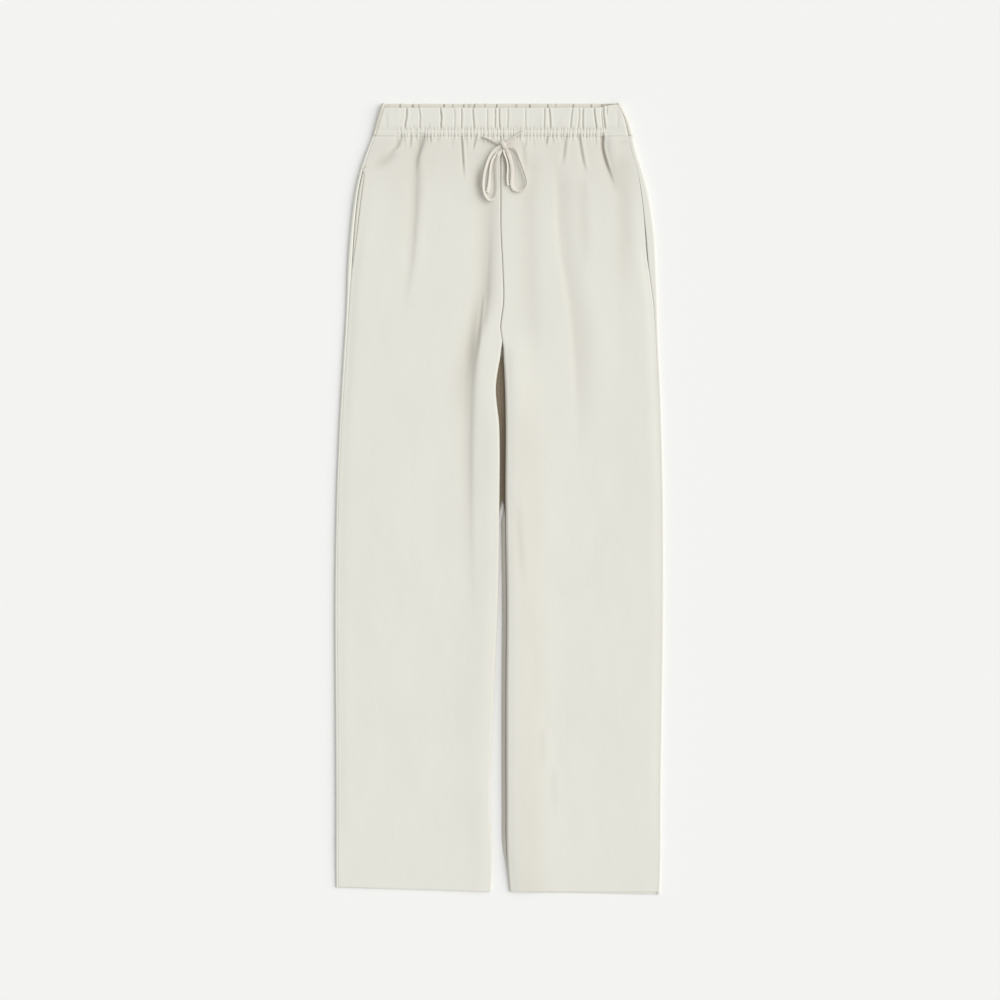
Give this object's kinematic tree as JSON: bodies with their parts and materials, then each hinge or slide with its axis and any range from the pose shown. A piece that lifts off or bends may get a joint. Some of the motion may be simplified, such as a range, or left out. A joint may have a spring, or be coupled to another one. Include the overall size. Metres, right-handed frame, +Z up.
{
  "type": "linen drawstring trousers laid flat",
  "caption": "Straight wide-leg trousers laid flat, front up, with a gathered elastic waistband, side-seam pockets and a drawstring tied in a small bow.",
  "frame": {"origin": "on the surface under the middle of the laid-out trousers' outline", "axes": "+Y from the hems to the waist, +Z up out of the front of the trousers, +X towards the wearer's left leg"},
  "size_m": [0.4438, 1.0669, 0.0175],
  "materials": {
    "linen": "plain-woven natural linen, matt, fine slubs",
    "tie": "narrow self-fabric tie, matt"
  },
  "bodies": {
    "root": {"front_right": "linen", "front_left": "linen", "back_right": "linen", "back_left": "linen", "waistband_front": "linen", "waistband_back": "linen", "pocket_facing_right": "linen", "pocket_facing_left": "linen", "drawstring_right": "tie", "drawstring_left": "tie", "drawstring_end_right": "tie", "drawstring_end_left": "tie", "drawstring_knot": "tie"}
  },
  "joints": []
}
